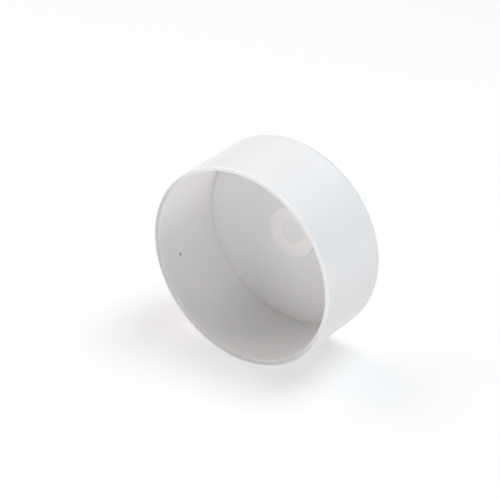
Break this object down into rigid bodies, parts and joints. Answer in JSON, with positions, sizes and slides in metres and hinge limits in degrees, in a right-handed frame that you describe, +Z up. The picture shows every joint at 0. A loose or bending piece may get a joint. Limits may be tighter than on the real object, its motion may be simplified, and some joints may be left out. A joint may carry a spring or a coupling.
{
  "type": "pipe cap",
  "caption": "Plain white moulded slip cap: a thin-walled cup with a rounded closed end that is cemented over the plain end of a drain pipe.",
  "frame": {"origin": "on the surface the cap lies on, under the middle of its length", "axes": "+Y along the socket's axis from the mouth to the closed end, so the pipe leaves towards -Y; +Z up, with the cap lying on its side"},
  "size_m": [0.1158, 0.0508, 0.1158],
  "materials": {
    "white_upvc": "satin white, as moulded"
  },
  "bodies": {
    "root": {"cap": "white_upvc"}
  },
  "joints": []
}
